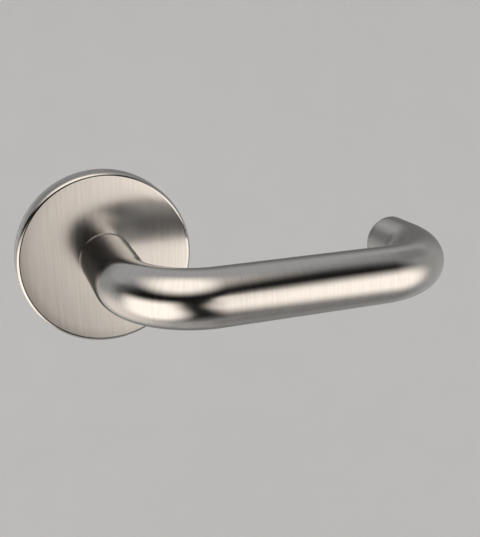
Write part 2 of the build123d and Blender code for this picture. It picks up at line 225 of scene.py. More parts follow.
def link_mesh(name, points, faces):
    """A new mesh object in the scene."""
    mesh = bpy.data.meshes.new(name)
    mesh.from_pydata([tuple(point) for point in points], [], faces)
    thing = bpy.data.objects.new(name, mesh)
    bpy.context.scene.collection.objects.link(thing)
    return thing


def grid_faces(rows, columns, closed_rows=False, closed_columns=True):
    """Quads over a grid of points that was written row by row."""
    faces = []
    for row in range(rows if closed_rows else rows - 1):
        for column in range(columns if closed_columns else columns - 1):
            right = (column + 1) % columns
            below = (row + 1) % rows
            corners = [(row, column), (row, right), (below, right), (below, column)]
            faces.append([r * columns + c for r, c in corners])
    return faces


bowl_rows = [(FLOOR_FLAT / 4, FLOOR_Z), (FLOOR_FLAT / 2, FLOOR_Z)]
for step in range(FLOOR_STEPS + 1):
    rise = math.pi / 2 * step / FLOOR_STEPS
    out = FLOOR_FLAT + FLOOR_CURVE * math.sin(rise)
    bowl_rows.append((out, FLOOR_Z + FLOOR_CURVE * (1 - math.cos(rise))))
bowl_rows.append((FLOOR_FLAT + FLOOR_CURVE, WALL_TOP))
bowl_points = []
for out, up in bowl_rows:
    for segment in range(FLOOR_SEGMENTS):
        turn = 2 * math.pi * segment / FLOOR_SEGMENTS
        bowl_points.append((out * math.cos(turn), out * math.sin(turn), up))
bowl_faces = grid_faces(len(bowl_rows), FLOOR_SEGMENTS)
bowl_faces.append(list(reversed(range(FLOOR_SEGMENTS))))
bowl = link_mesh("floor", bowl_points, bowl_faces)
bowl.data.shade_smooth()
print("floor is", -FLOOR_Z, "m below the spindle")

# %% Pale paper for the bowl
BLACK = (0.0, 0.0, 0.0, 1.0)
WHITE = (1.0, 1.0, 1.0, 1.0)
PALE = (0.70, 0.695, 0.69, 1.0)
PALER = (0.74, 0.735, 0.73, 1.0)
PAPER_GLOW = 0.18  # added where the paper is seen, straight or in metal, and not in the light that it sheds

paper = Finish("pale_paper", {"Roughness": 0.9, "Specular IOR Level": 0.2, "Emission Strength": PAPER_GLOW})
paper_fleck = paper.noise(paper.place(), (2.0, 2.0, 2.0))
seen = paper.node("LightPath", {}, {}, "Is Camera Ray")
for ray in ("Is Glossy Ray", "Is Transmission Ray"):
    seen = seen + paper.node("LightPath", {}, {}, ray)
paper.feed({
    "Base Color": paper.mixed(paper_fleck + 0.5, PALE, PALER),
    "Emission Color": paper.mixed(seen, BLACK, WHITE),
})
bowl.data.materials.append(paper.material)
print("paper nodes:", len(paper.tree.nodes))

# %% [markdown]
# ## Soft lights, a black flag and nets
#
# Round metal shows each light as a long band, so the lights are read from the bands on the tube. A
# softbox with a square top hangs low on the left, with a weaker light beside it. One light hangs in front
# on the right, one overhead, and two small ones fill the rose. Photographers hang a black flag behind
# such lights, because bands of pale and dark are what make metal look round, and thin nets where a band
# should be grey. Each of these is a cap of a sphere about the handle, given by the direction it hangs in,
# and it fades towards its rim as cloth in front of a bulb does. Area lamps would be simpler, but their
# borders are hard.

# %% A cap of cloth
LIGHT_CENTRE = Vector((50.0, -40.0, 0.0)) * MM
CAP_RINGS = 24
CAP_SEGMENTS = 64
ROUND = 2  # the power that makes a rim round
SQUARE = 5  # a higher power, which draws the upper half of a rim out to two corners


def cap(name, aim, fade, most, distance, upper=ROUND):
    """A cap of a sphere about the handle, whose stored cover fades from most to nothing at its rim."""
    azimuth, elevation = [math.radians(angle) for angle in aim]
    level = math.cos(elevation)
    middle = Vector((level * math.sin(azimuth), -level * math.cos(azimuth), math.sin(elevation)))
    across = Vector((math.cos(azimuth), math.sin(azimuth), 0.0))
    upward = middle.cross(across)
    full, end = fade
    points = []
    cover = []
    for row in range(1, CAP_RINGS + 1):
        lean = math.radians(end * row / CAP_RINGS)
        share = min(1.0, end * (1 - row / CAP_RINGS) / (end - full))
        for segment in range(CAP_SEGMENTS):
            turn = 2 * math.pi * segment / CAP_SEGMENTS
            sideways, up = math.cos(turn), math.sin(turn)
            power = upper if up > 0 else ROUND
            reach = lean * (abs(sideways) ** power + abs(up) ** power) ** (-1 / power)
            ray = math.cos(reach) * middle + math.sin(reach) * (sideways * across + up * upward)
            points.append(LIGHT_CENTRE + distance * ray)
            cover.append(most * share * share * (3 - 2 * share))
    faces = grid_faces(CAP_RINGS, CAP_SEGMENTS)
    faces.append(list(reversed(range(CAP_SEGMENTS))))
    thing = link_mesh(name, points, faces)
    thing.data.attributes.new("cover", "FLOAT", "POINT").data.foreach_set("value", cover)
    thing.visible_camera = False
    return thing


print("points of a cap:", CAP_RINGS * CAP_SEGMENTS)

# %% Black flag and nets
FLAG_DISTANCE = 2.7  # metres
CAP_STEP = 0.05  # metres that each cap hangs nearer than the one before
# A row gives the direction as azimuth and elevation, in degrees, where azimuth 0 is straight in front of
# the door and grows to the right. Then come the degrees from its middle to which a cap keeps its full cover,
# the degrees at which it ends, and that full cover.
FLAGS = (
    ("black_flag", (-19, 14), (56, 96), 0.98),
    ("left_net", (-160, 13), (4, 28), 0.5),
    ("right_net", (150, 5), (10, 45), 0.57),
    ("low_net", (165, -42), (10, 38), 0.45),
    ("under_net", (80, -62), (8, 34), 0.3),
    ("side_net", (98, 42), (8, 26), 0.4),
    ("shade_net", (-99, 15), (8, 25), 0.5),
)

velvet = Finish("flag_velvet", {"Base Color": BLACK, "Specular IOR Level": 0.0, "Roughness": 1.0})
velvet.feed({"Alpha": velvet.stored("cover", "Fac")})
distance = FLAG_DISTANCE
for name, aim, fade, most in FLAGS:
    cap(name, aim, fade, most, distance).data.materials.append(velvet.material)
    distance -= CAP_STEP
print("one flag and", len(FLAGS) - 1, "nets")

# %% Diffusers
WARM_WHITE = (1.0, 0.915, 0.83, 1.0)
# The rows are as those of the flags, with the light's strength in place of the cover, and then the form of
# its upper rim.
DIFFUSERS = (
    ("fill_diffuser", (11, -6), (9, 26), 0.86, ROUND),
    ("brow_diffuser", (12, 11), (3, 16), 1.2, ROUND),
    ("side_diffuser", (-122, -40), (8, 40), 1.25, ROUND),
    ("left_diffuser", (-66, -28), (20, 43), 2.16, SQUARE),
    ("front_diffuser", (39, -9.5), (13, 47), 2.02, ROUND),
    ("top_diffuser", (-47, 67), (13, 45.5), 2.0, ROUND),
)

for name, aim, fade, strength, upper in DIFFUSERS:
    cloth = Finish(name, {
        "Base Color": BLACK,
        "Specular IOR Level": 0.0,
        "Emission Color": WARM_WHITE,
        "Emission Strength": strength,
    })
    cloth.feed({"Alpha": cloth.stored("cover", "Fac")})
    cap(name, aim, fade, 1.0, distance, upper).data.materials.append(cloth.material)
    distance -= CAP_STEP
print(len(DIFFUSERS), "diffusers, the nearest at", round(distance + CAP_STEP, 2), "m")

# %% [markdown]
# ## Room light
#
# A real room sends some light from everywhere, so the world is an even grey, which reaches what the lamps
# don't. A sky or a picture of a room would do that too, but its patches would show in the steel. The
# Standard view transform shows a colour about as it is written.

# %% Light the room
ROOM_GREY = (0.58, 0.58, 0.58, 1.0)
world = bpy.data.worlds.new("room")
world.use_nodes = True
world.node_tree.nodes["Background"].inputs["Color"].default_value = ROOM_GREY
bpy.context.scene.world = world
bpy.context.scene.view_settings.view_transform = "Standard"
print("room light", ROOM_GREY[:3])

# %% [markdown]
# ## Satin tube
#
# The lever is stainless tube, brushed while it turns, so the scratches run round it and follow the bends.
# Wood grain or cast metal could take their noise straight from the space round them, but scratches that
# follow a bend need a map of the tube laid straight. The mesh stores that map at each point, and noise
# that is fine along it and long round it makes the scratches. They mix a duller and a brighter steel,
# starting from halfway.

# %% Satin tube finish
STEEL = (0.437, 0.4294, 0.418, 1.0)
STEEL_BRIGHT = (0.543, 0.5336, 0.521, 1.0)
SATIN_ROUGHNESS = 0.13
MICRON = 0.001 * MM


def satin_tube():
    finish = Finish("satin_tube", {"Metallic": 1.0, "Anisotropic": 0.5})
    straight = finish.stored("straight_tube", "Vector")
    hairline = finish.noise(straight, (2400, 60, 60))
    streak = finish.noise(straight, (1100, 30, 30))
    handling = finish.noise(straight, (40, 60, 60))
    tone = 0.5 + 0.85 * hairline + 0.4 * streak
    roughness = SATIN_ROUGHNESS + 0.05 * hairline + 0.02 * streak + 0.03 * handling
    finish.feed({
        "Base Color": finish.mixed(tone, STEEL, STEEL_BRIGHT),
        "Roughness": roughness,
        "Normal": finish.bump(0.3 * MICRON * hairline + 0.3 * MICRON * streak),
    })
    return finish


tube_finish = satin_tube()
print("satin tube nodes:", len(tube_finish.tree.nodes))

# %% [markdown]
# ## The lever tube
#
# A bar of tube is bent twice in one plane: it leaves the rose, turns along the door as the grip, and
# turns back to the door. A curve with a round bevel would draw it in one step, but a curve can't carry
# the straight map, the hole for the set screw or the rounded rim. So a walk along the centre line writes
# one ring of points at each station, and the rings are joined into one closed skin, outside and inside.

# %% Sizes of the tube
tube_low, tube_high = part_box("lever_tube")
end_cap_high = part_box("return_end_cap")[1]
grub_low, grub_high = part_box("grub_screw")
TUBE_R = tube_high.z
TUBE_WALL = 1.5 * MM
BEND_R = 26.0 * MM
END_CAP_SINK = 0.4 * MM  # from the tube's rim in to the end cap
GRUB_PLAY = 0.02 * MM  # round the set screw in its hole
bore_r = TUBE_R - TUBE_WALL
grub_hole_r = (grub_high.x - grub_low.x) / 2 + GRUB_PLAY
mouth_y = tube_high.y
grip_y = tube_low.y + TUBE_R
return_x = tube_high.x - TUBE_R
return_y = end_cap_high.y + END_CAP_SINK
grub_y = (grub_low.y + grub_high.y) / 2
print("tube, mm: diameter", round(2 * TUBE_R / MM, 1), "bore", round(2 * bore_r / MM, 1))

# %% A walk along a centre line
class Walk:
    """Stations along the tube: the length walked, the point reached and the heading there."""

    def __init__(self, point, heading):
        self.stations = [(0.0, Vector(point), heading)]

    def ahead(self, distance, steps):
        for step in range(steps):
            length, point, heading = self.stations[-1]
            stride = distance / steps
            forward = Vector((math.cos(heading), math.sin(heading), 0.0))
            self.stations.append((length + stride, point + stride * forward, heading))

    def turn_left(self, radius, angle, steps):
        length, point, heading = self.stations[-1]
        centre = point + radius * Vector((-math.sin(heading), math.cos(heading), 0.0))
        for step in range(1, steps + 1):
            now = heading + angle * step / steps
            place = centre + radius * Vector((math.sin(now), -math.cos(now), 0.0))
            self.stations.append((length + radius * angle * step / steps, place, now))


TUBE_SEGMENTS = 128
HOLE_CELLS = 20  # stations and segments across the square patch round the set screw's hole
BEND_STEPS = 40
GRIP_STEPS = 12
SHORT_STEPS = 4  # on the short straight lengths
patch_half = math.pi * TUBE_R * HOLE_CELLS / TUBE_SEGMENTS
patch_front = mouth_y - grub_y - patch_half
bend_start = mouth_y - (grip_y + BEND_R)
walk = Walk((0.0, mouth_y, 0.0), -math.pi / 2)
walk.ahead(patch_front, SHORT_STEPS)
hole_row = len(walk.stations) - 1
walk.ahead(2 * patch_half, HOLE_CELLS)
walk.ahead(bend_start - patch_front - 2 * patch_half, SHORT_STEPS)
walk.turn_left(BEND_R, math.pi / 2, BEND_STEPS)
walk.ahead(return_x - 2 * BEND_R, GRIP_STEPS)
walk.turn_left(BEND_R, math.pi / 2, BEND_STEPS)
walk.ahead(return_y - (grip_y + BEND_R), SHORT_STEPS)
print("tube centre line, mm:", round(walk.stations[-1][0] / MM, 1))

# %% Rings of points
RIM_R = 0.6 * MM  # the round on the rim of the return
RIM_STEPS = 6


def ring(station, radius, setback=0.0):
    """One ring of the tube, with each point's place on the straight tube."""
    length, centre, heading = station
    forward = Vector((math.cos(heading), math.sin(heading), 0.0))
    side = Vector((-math.sin(heading), math.cos(heading), 0.0))
    points = []
    for segment in range(TUBE_SEGMENTS):
        turn = 2 * math.pi * segment / TUBE_SEGMENTS
        across, upward = radius * math.cos(turn), radius * math.sin(turn)
        point = centre - setback * forward + across * side + Vector((0.0, 0.0, upward))
        points.append((point, (length - setback, across, upward)))
    return points


tube_rings = [ring(station, TUBE_R) for station in walk.stations[:-1]]
last = walk.stations[-1]
for step in range(RIM_STEPS + 1):
    lean = math.pi / 2 * step / RIM_STEPS
    tube_rings.append(ring(last, TUBE_R - RIM_R * (1 - math.cos(lean)), RIM_R * (1 - math.sin(lean))))
tube_rings += [ring(station, bore_r) for station in reversed(walk.stations)]
print(len(tube_rings), "rings of", TUBE_SEGMENTS)

# %% Skin with the set screw's hole
HOLE_RINGS = 8  # rings of points from the square patch in to the hole
tube_points = [point for points in tube_rings for point, mapped in points]
tube_map = [mapped for points in tube_rings for point, mapped in points]
tube_faces = grid_faces(len(tube_rings), TUBE_SEGMENTS, closed_rows=True)
hole_column = 3 * TUBE_SEGMENTS // 4 - HOLE_CELLS // 2  # three quarters round is straight down


def square_border(first_row, row_step):
    """Indices round the square patch of cells, in order, for the outside or the inside rings."""
    spots = [(0, cell) for cell in range(HOLE_CELLS)]
    spots += [(cell, HOLE_CELLS) for cell in range(HOLE_CELLS)]
    spots += [(HOLE_CELLS, HOLE_CELLS - cell) for cell in range(HOLE_CELLS)]
    spots += [(HOLE_CELLS - cell, 0) for cell in range(HOLE_CELLS)]
    return [(first_row + row_step * row) * TUBE_SEGMENTS + hole_column + column for row, column in spots]


def patch_cells(first_row, row_step):
    """The faces that the patch takes away."""
    taken = set()
    for row in range(HOLE_CELLS):
        low = min(first_row + row_step * row, first_row + row_step * (row + 1))
        for column in range(HOLE_CELLS):
            taken.add(low * TUBE_SEGMENTS + hole_column + column)
    return taken


def toward_hole(border, radius, share):
    """A ring of points on the tube, this share of the way from the square border to the drilled hole."""
    first = len(tube_points)
    for index in border:
        x, y = tube_points[index].x, tube_points[index].y - grub_y
        pull = 1 + share * (grub_hole_r / math.hypot(x, y) - 1)
        x, y = pull * x, grub_y + pull * y
        z = -math.sqrt(radius**2 - x**2)
        tube_points.append(Vector((x, y, z)))
        tube_map.append((mouth_y - y, x, z))
    return list(range(first, first + len(border)))


def band(first, second):
    """Quads between two rings of as many points."""
    count = len(first)
    return [[first[i], first[(i + 1) % count], second[(i + 1) % count], second[i]] for i in range(count)]


inner_row = len(tube_rings) - 1 - hole_row
taken = patch_cells(hole_row, 1) | patch_cells(inner_row, -1)
tube_faces = [face for number, face in enumerate(tube_faces) if number not in taken]
outer_border = square_border(hole_row, 1)
inner_border = square_border(inner_row, -1)
shares = [step / HOLE_RINGS for step in range(1, HOLE_RINGS + 1)]
hole_rings = [outer_border] + [toward_hole(outer_border, TUBE_R, share) for share in shares]
hole_rings += [toward_hole(inner_border, bore_r, share) for share in reversed(shares)] + [inner_border]
for first, second in zip(hole_rings, hole_rings[1:]):
    tube_faces += band(first, second)
print("faces taken for the hole:", len(taken))

# %% [markdown]
# ## Pieces that stand for packed ones
#
# Each piece of this lesson stands for one packed piece and moves with the same body. One helper works
# on all of them: it turns the faces outward, shades the round surfaces smooth and keeps an edge sharp
# where two faces meet at a steep angle. The tube also needs a word on its highlights, which stretch along
# it, across the scratches. Without a UV map the shader lays them round an upright line through the middle
# of the mesh's texture space, so that middle goes into the hollow of the lever.

# %% Stand for a packed piece
SHARP = math.radians(32)
WELD = 0.0001 * MM
bodies = frame["record"]["behaviour"]["bodies"]
body_of_node = {node: body for body, nodes in bodies.items() for node in nodes}


def close_up(thing):
    """Welds points that coincide, turns every face outward and counts the edges that are still open."""
    shape = bmesh.new()
    shape.from_mesh(thing.data)
    bmesh.ops.remove_doubles(shape, verts=shape.verts, dist=WELD)
    bmesh.ops.recalc_face_normals(shape, faces=shape.faces)
    open_edges = sum(not edge.is_manifold for edge in shape.edges)
    shape.to_mesh(thing.data)
    shape.free()
    return open_edges


def stand_for(node, thing, finish):
    """Shades a piece and puts it in a packed piece's place."""
    open_edges = close_up(thing)
    thing.data.shade_smooth()
    thing.data.set_sharp_from_angle(angle=SHARP)
    thing.data.materials.clear()
    thing.data.materials.append(finish.material)
    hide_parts(node)
    print(thing.name, "faces", len(thing.data.polygons), "open edges", open_edges)


def store_map(thing, name, places):
    """Stores one vector for each point of a piece."""
    stored = thing.data.attributes.new(name, "FLOAT_VECTOR", "POINT")
    stored.data.foreach_set("vector", [number for place in places for number in place])


HOLLOW = (return_x / 2, -20 * MM, 0.0)
HOLLOW_REACH = (75 * MM, 50 * MM, 50 * MM)
tube = link_mesh("lever_tube_skin", tube_points, tube_faces)
store_map(tube, "straight_tube", tube_map)
tube.data.use_auto_texspace = False
tube.data.texspace_location = HOLLOW
tube.data.texspace_size = HOLLOW_REACH
stand_for("lever_tube", tube, tube_finish)
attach(tube, body_of_node["lever_tube"])

# %% [markdown]
# ## Brushed rose
#
# The cap is drawn from sheet and its face is brushed upright on a belt, so the scratches are straight and
# run up the face. That needs no map: noise that is fine across and long upward does it. Highlights on
# such a face spread sideways, across the scratches, which the shader's anisotropy gives. Cloths and hands
# have polished the rounded front edge and the lip at the hole, so the roughness drops there. A second
# material could do that, but a mask from the distance to the axis fades without a border.

# %% Brushed steel finish
rose_low, rose_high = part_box("cover_rose")
ROSE_R = rose_high.x
ROSE_EDGE_R = 1.5 * MM  # the round on the front edge
NECK_GAP = 0.04 * MM  # between the hole and the neck
LIP_R = 0.11 * MM  # the half-round lip that stands out round the hole
POLISH_FADE = 0.11 * MM
BRUSHED_ROUGHNESS = 0.185
EDGE_POLISH = 0.10  # roughness that is gone where the steel is polished
hole_r = TUBE_R + NECK_GAP
lip_end_r = hole_r + 2 * LIP_R
rim_r = ROSE_R - ROSE_EDGE_R


def edge_polish(finish):
    """1 on the rose's rounded edge and on its lip, and 0 on the flat face between them."""
    out = finish.from_axis()
    rim = finish.ramp(out, rim_r - POLISH_FADE, rim_r + POLISH_FADE)
    lip = 1 - finish.ramp(out, lip_end_r, lip_end_r + POLISH_FADE)
    return rim + lip


def brushed_steel(name, polish=None):
    """Steel brushed upright, with a function for how far each point is polished if that varies."""
    finish = Finish(name, {"Metallic": 1.0, "Anisotropic": 0.45})
    place = finish.place()
    hairline = finish.noise(place, (2400, 150, 60))
    streak = finish.noise(place, (800, 60, 30))
    handling = finish.noise(place, (45, 45, 45))
    tone = 0.5 + 1.0 * hairline + 0.45 * streak
    scratches = 0.05 * hairline + 0.04 * streak + 0.03 * handling
    roughness = BRUSHED_ROUGHNESS + scratches
    if polish:
        roughness = roughness - EDGE_POLISH * polish(finish)
    finish.feed({
        "Base Color": finish.mixed(tone, STEEL, STEEL_BRIGHT),
        "Roughness": roughness,
        "Normal": finish.bump(0.4 * MICRON * hairline + 0.6 * MICRON * streak),
    })
    return finish


rose_finish = brushed_steel("brushed_rose", edge_polish)
print("brushed rose nodes:", len(rose_finish.tree.nodes))

# %% [markdown]
# ## The cover rose
#
# A drawn cap has one wall thickness all over, a rounded front edge, and a fine lip rolled round its hole
# that catches the light beside the neck. Its section is drawn once and spun about the spindle axis. A
# modifier could spin it, but a plain loop keeps the points in hand. Two more rings of points near the
# borders of the face keep its shading flat.

# %% Spin the cover rose
ROSE_WALL = 1.2 * MM
RIM_EASE = 0.25 * MM  # the round on the back rim
FACE_BORDER = 4 * MM
ROSE_SEGMENTS = 256
front_y = rose_low.y
floor_y = front_y + ROSE_WALL


def rounded(centre, radius, start, end, steps=8):
    """Points of an arc about a centre in the plane, between two angles in degrees."""
    points = []
    for step in range(steps + 1):
        angle = math.radians(start + (end - start) * step / steps)
        points.append((centre[0] + radius * math.cos(angle), centre[1] + radius * math.sin(angle)))
    return points


def spun(name, section, segments):
    """A closed section of (radius, y) points, turned about the spindle axis."""
    points = []
    for radius, y in section:
        for segment in range(segments):
            turn = 2 * math.pi * segment / segments
            points.append((radius * math.cos(turn), y, radius * math.sin(turn)))
    return link_mesh(name, points, grid_faces(len(section), segments, closed_rows=True))


rose_section = [
    (hole_r, floor_y),
    *rounded((hole_r + LIP_R, front_y), LIP_R, 180, 360),
    (hole_r + FACE_BORDER, front_y),
    (rim_r - FACE_BORDER, front_y),
    *rounded((rim_r, front_y + ROSE_EDGE_R), ROSE_EDGE_R, 270, 360, 16),
    *rounded((ROSE_R - RIM_EASE, rose_high.y - RIM_EASE), RIM_EASE, 0, 90, 4),
    (ROSE_R - ROSE_WALL, rose_high.y),
    (ROSE_R - ROSE_WALL, floor_y),
]
rose = spun("cover_rose_skin", rose_section, ROSE_SEGMENTS)
stand_for("cover_rose", rose, rose_finish)
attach(rose, body_of_node["cover_rose"])

# %% [markdown]
# ## Easing the edges of made pieces
#
# No stamped, turned or cast edge is a perfect corner: it is broken by a few tenths of a millimetre, and
# that thin round is what catches the light. The packed meshes already have the right shape, so a copy of
# each is welded, its flat faces are joined up, and its steep edges get a narrow round. A Bevel modifier
# would do the same, but working on the copy itself lets us count open edges. Weighted normals keep the
# flat faces flat. The first piece is the disc in the end of the lever, brushed as the rose is.

# %% Ease a copy of a packed piece
FLAT = math.radians(0.5)  # faces that lean less than this to each other are one flat face
FACET_WELD = 0.0005 * MM
BROKEN_EDGE = 0.2 * MM  # on turned, stamped, cast and soft pieces
BAR_EDGE = 0.25 * MM  # on drawn bars and ground pins
FINE_EDGE = 0.12 * MM  # on screws, washers and thin springs


def eased(node, finish, edge):
    """Stands a copy of a packed piece with eased edges in that piece's place, on that piece's body."""
    shape = bmesh.new()
    shape.from_mesh(frame["nodes"][node].data)
    bmesh.ops.remove_doubles(shape, verts=shape.verts, dist=FACET_WELD)
    bmesh.ops.dissolve_limit(shape, angle_limit=FLAT, verts=shape.verts, edges=shape.edges)
    steep = [side for side in shape.edges if side.is_manifold and side.calc_face_angle() > SHARP]
    bmesh.ops.bevel(
        shape,
        geom=steep,
        offset=edge,
        offset_type="OFFSET",
        segments=2,
        profile=0.5,
        affect="EDGES",
        clamp_overlap=True,
    )
    mesh = bpy.data.meshes.new(node + "_eased")
    shape.to_mesh(mesh)
    shape.free()
    thing = bpy.data.objects.new(node + "_eased", mesh)
    bpy.context.scene.collection.objects.link(thing)
    stand_for(node, thing, finish)
    thing.modifiers.new("weighted_normals", "WEIGHTED_NORMAL").keep_sharp = True
    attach(thing, body_of_node[node])


eased("return_end_cap", brushed_steel("brushed_cap"), BROKEN_EDGE)

# %% [markdown]
# ## Turned steel
#
# The core in the neck is turned on a lathe, and the tool leaves fine rings: round the bar on its sides,
# and round the centre on its ends. A picture of rings would need a map for each face. Here both come from
# one noise that reads only the distance from the axis and the place along it, so it can't change round a
# ring.

# %% Turned steel finish
TURNED = (0.42, 0.42, 0.43, 1.0)
TURNED_BRIGHT = (0.60, 0.60, 0.60, 1.0)


def turned_steel():
    finish = Finish("turned_steel", {"Metallic": 1.0})
    place = finish.place()
    along = finish.node("SeparateXYZ", {}, {0: place}, "Y")
    lathe = finish.node("CombineXYZ", {}, {"X": finish.from_axis(), "Y": along})
    ring_mark = finish.noise(lathe, (4000, 4000, 0))
    oil = finish.noise(place, (150, 150, 150))
    finish.feed({
        "Base Color": finish.mixed(0.5 + ring_mark + 0.8 * oil, TURNED, TURNED_BRIGHT),
        "Roughness": 0.28 + 0.12 * ring_mark + 0.10 * oil,
        "Normal": finish.bump(4 * MICRON * ring_mark),
    })
    return finish


eased("neck_core", turned_steel(), BROKEN_EDGE)

# %% [markdown]
# ## Zinc plate
#
# The plate, the screws and the bar through the door are mild steel with a thin coat of zinc, which is
# bright, slightly blue and a little cloudy where the bath was uneven. One flat grey would pass from afar,
# but up close the coat is never even, so broad noise tints it and fine noise gives its dull grain.

# %% Zinc plate finish
ZINC = (0.50, 0.52, 0.54, 1.0)
ZINC_BRIGHT = (0.70, 0.71, 0.71, 1.0)


def zinc_plate():
    finish = Finish("zinc_plate", {"Metallic": 1.0})
    place = finish.place()
    cloud = finish.noise(place, (180, 180, 180), 3.0)
    grain = finish.noise(place, (5000, 5000, 5000))
    finish.feed({
        "Base Color": finish.mixed(0.5 + 1.4 * cloud + 0.5 * grain, ZINC, ZINC_BRIGHT),
        "Roughness": 0.36 + 0.16 * cloud + 0.10 * grain,
        "Normal": finish.bump(3 * MICRON * grain),
    })
    return finish


zinc_finish = zinc_plate()
for node, edge in (
    ("spindle", BAR_EDGE),
    ("drive_plate", BROKEN_EDGE),
    ("mounting_plate", BROKEN_EDGE),
    ("housing_screws", FINE_EDGE),
    ("bolt_lock_washers", FINE_EDGE),
):
    eased(node, zinc_finish, edge)

# %% [markdown]
# ## Bolts with a real thread
#
# The two bolts that pull the plate to the door show their threads from behind. A bump could draw the
# grooves, but the bolt's outline would stay smooth. So the rows of the mesh climb as the thread does:
# each row is one edge of the thread's profile, followed round the bolt, and it meets the row one turn
# further on where the round closes. Rows past either end of the thread fold onto the end and are welded
# away.

# %% Sizes of a bolt
bolts_low, bolts_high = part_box("fixing_bolts")
washers_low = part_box("bolt_lock_washers")[0]
housing_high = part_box("spring_housing")[1]
BOLT_R = 2.5 * MM
BOLT_WAIST_R = 2.2 * MM
BOLT_HEAD_R = bolts_high.z
BOLT_KEY = 3.0 * MM
BOLT_KEY_DEPTH = 2.0 * MM
BOLT_EDGE = 0.3 * MM
THREAD_CLEAR = 1.0 * MM  # from the housing to the first turn of the thread
THREAD_PITCH = 0.8 * MM
THREAD_DEPTH = 0.49 * MM
THREAD_CHAMFER = 0.5 * MM
# The corners of one turn of the thread: the share of the pitch, then the share of the depth.
THREAD_PROFILE = ((0.0, 0.0), (0.125, 0.0), (0.4375, 1.0), (0.6875, 1.0))
head_front = bolts_low.y
head_back = washers_low.y
key_floor = head_front + BOLT_KEY_DEPTH
thread_start = housing_high.y + THREAD_CLEAR
thread_end = bolts_high.y
thread_turns = math.ceil((thread_end - thread_start) / THREAD_PITCH)
print("turns of thread:", thread_turns)

# %% Rows of a bolt
BOLT_SEGMENTS = 48


def round_row(radius, y):
    return [(radius, y)] * (BOLT_SEGMENTS + 1)


def key_row(y):
    """A row round the hexagon socket."""
    row = []
    for segment in range(BOLT_SEGMENTS + 1):
        turn = 2 * math.pi * segment / BOLT_SEGMENTS
        from_flat = (turn + math.pi / 6) % (math.pi / 3) - math.pi / 6
        row.append((BOLT_KEY / 2 / math.cos(from_flat), y))
    return row


def thread_row(turn, depth):
    """A row that follows one edge of the thread once round the bolt."""
    row = []
    for segment in range(BOLT_SEGMENTS + 1):
        y = thread_start + THREAD_PITCH * (turn + segment / BOLT_SEGMENTS)
        y = min(max(y, thread_start), thread_end)
        grown = min(1.0, (y - thread_start) / THREAD_PITCH)
        radius = BOLT_WAIST_R + grown * (BOLT_R - depth * THREAD_DEPTH - BOLT_WAIST_R)
        row.append((min(radius, BOLT_R - THREAD_CHAMFER + thread_end - y), y))
    return row


bolt_rows = [round_row(0.0, key_floor), key_row(key_floor), key_row(head_front)]
head_profile = rounded((BOLT_HEAD_R - BOLT_EDGE, head_front + BOLT_EDGE), BOLT_EDGE, 270, 360, 4)
head_profile += [(BOLT_HEAD_R, head_back), (BOLT_WAIST_R, head_back), (BOLT_WAIST_R, thread_start)]
bolt_rows += [round_row(radius, y) for radius, y in head_profile]
for turn in range(-1, thread_turns + 1):
    bolt_rows += [thread_row(turn + share, depth) for share, depth in THREAD_PROFILE]
bolt_rows += [round_row(BOLT_R - THREAD_CHAMFER, thread_end), round_row(0.0, thread_end)]
print("rows of a bolt:", len(bolt_rows))

# %% Place two bolts
bolt_points = []
bolt_faces = []
for bolt_x in (bolts_low.x + BOLT_HEAD_R, bolts_high.x - BOLT_HEAD_R):
    first = len(bolt_points)
    for row in bolt_rows:
        for segment, (radius, y) in enumerate(row):
            turn = 2 * math.pi * segment / BOLT_SEGMENTS
            bolt_points.append((bolt_x + radius * math.cos(turn), y, -radius * math.sin(turn)))
    cells = grid_faces(len(bolt_rows), BOLT_SEGMENTS + 1, closed_columns=False)
    bolt_faces += [[first + corner for corner in cell] for cell in cells]
bolts = link_mesh("fixing_bolts_threaded", bolt_points, bolt_faces)
stand_for("fixing_bolts", bolts, zinc_finish)
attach(bolts, body_of_node["fixing_bolts"])

# %% [markdown]
# ## Die casting
#
# The housing that enters the door is a zinc casting. Its skin is grey and slightly rough, with a fine
# grain from the mould and broad, faint flow marks where the metal ran. Both are noise from the space
# round the piece, because a casting has no direction that the marks would have to follow.

# %% Die-cast finish
CAST = (0.30, 0.31, 0.33, 1.0)
CAST_BRIGHT = (0.46, 0.47, 0.49, 1.0)


def die_cast():
    finish = Finish("die_cast", {"Metallic": 0.9})
    place = finish.place()
    flow = finish.noise(place, (70, 70, 160), 3.0)
    grain = finish.noise(place, (2600, 2600, 2600), 3.0)
    finish.feed({
        "Base Color": finish.mixed(0.5 + 1.3 * flow + 0.6 * grain, CAST, CAST_BRIGHT),
        "Roughness": 0.48 + 0.15 * flow + 0.12 * grain,
        "Normal": finish.bump(12 * MICRON * grain),
    })
    return finish


eased("spring_housing", die_cast(), BROKEN_EDGE)

# %% [markdown]
# ## Bearings and bumpers
#
# The bushes are moulded nylon, off-white and a little waxy, so light enters them before it comes back. A
# pale paint would look chalky, and a small subsurface weight gives the wax. The sleeves on the stops are
# black rubber, dull all over with a dusty bloom.

# %% Nylon and rubber finishes
NYLON = (0.74, 0.72, 0.66, 1.0)
NYLON_PALE = (0.85, 0.84, 0.79, 1.0)
MOULDED_EDGE = 0.15 * MM
RUBBER = (0.012, 0.012, 0.013, 1.0)
RUBBER_BLOOM = (0.05, 0.05, 0.052, 1.0)


def bearing_nylon():
    finish = Finish("bearing_nylon", {"Subsurface Weight": 0.15, "Subsurface Scale": 0.4 * MM})
    place = finish.place()
    cloud = finish.noise(place, (220, 220, 220))
    grain = finish.noise(place, (3500, 3500, 3500))
    finish.feed({
        "Base Color": finish.mixed(0.5 + 1.4 * cloud, NYLON, NYLON_PALE),
        "Roughness": 0.42 + 0.15 * cloud + 0.10 * grain,
        "Normal": finish.bump(4 * MICRON * grain),
    })
    return finish


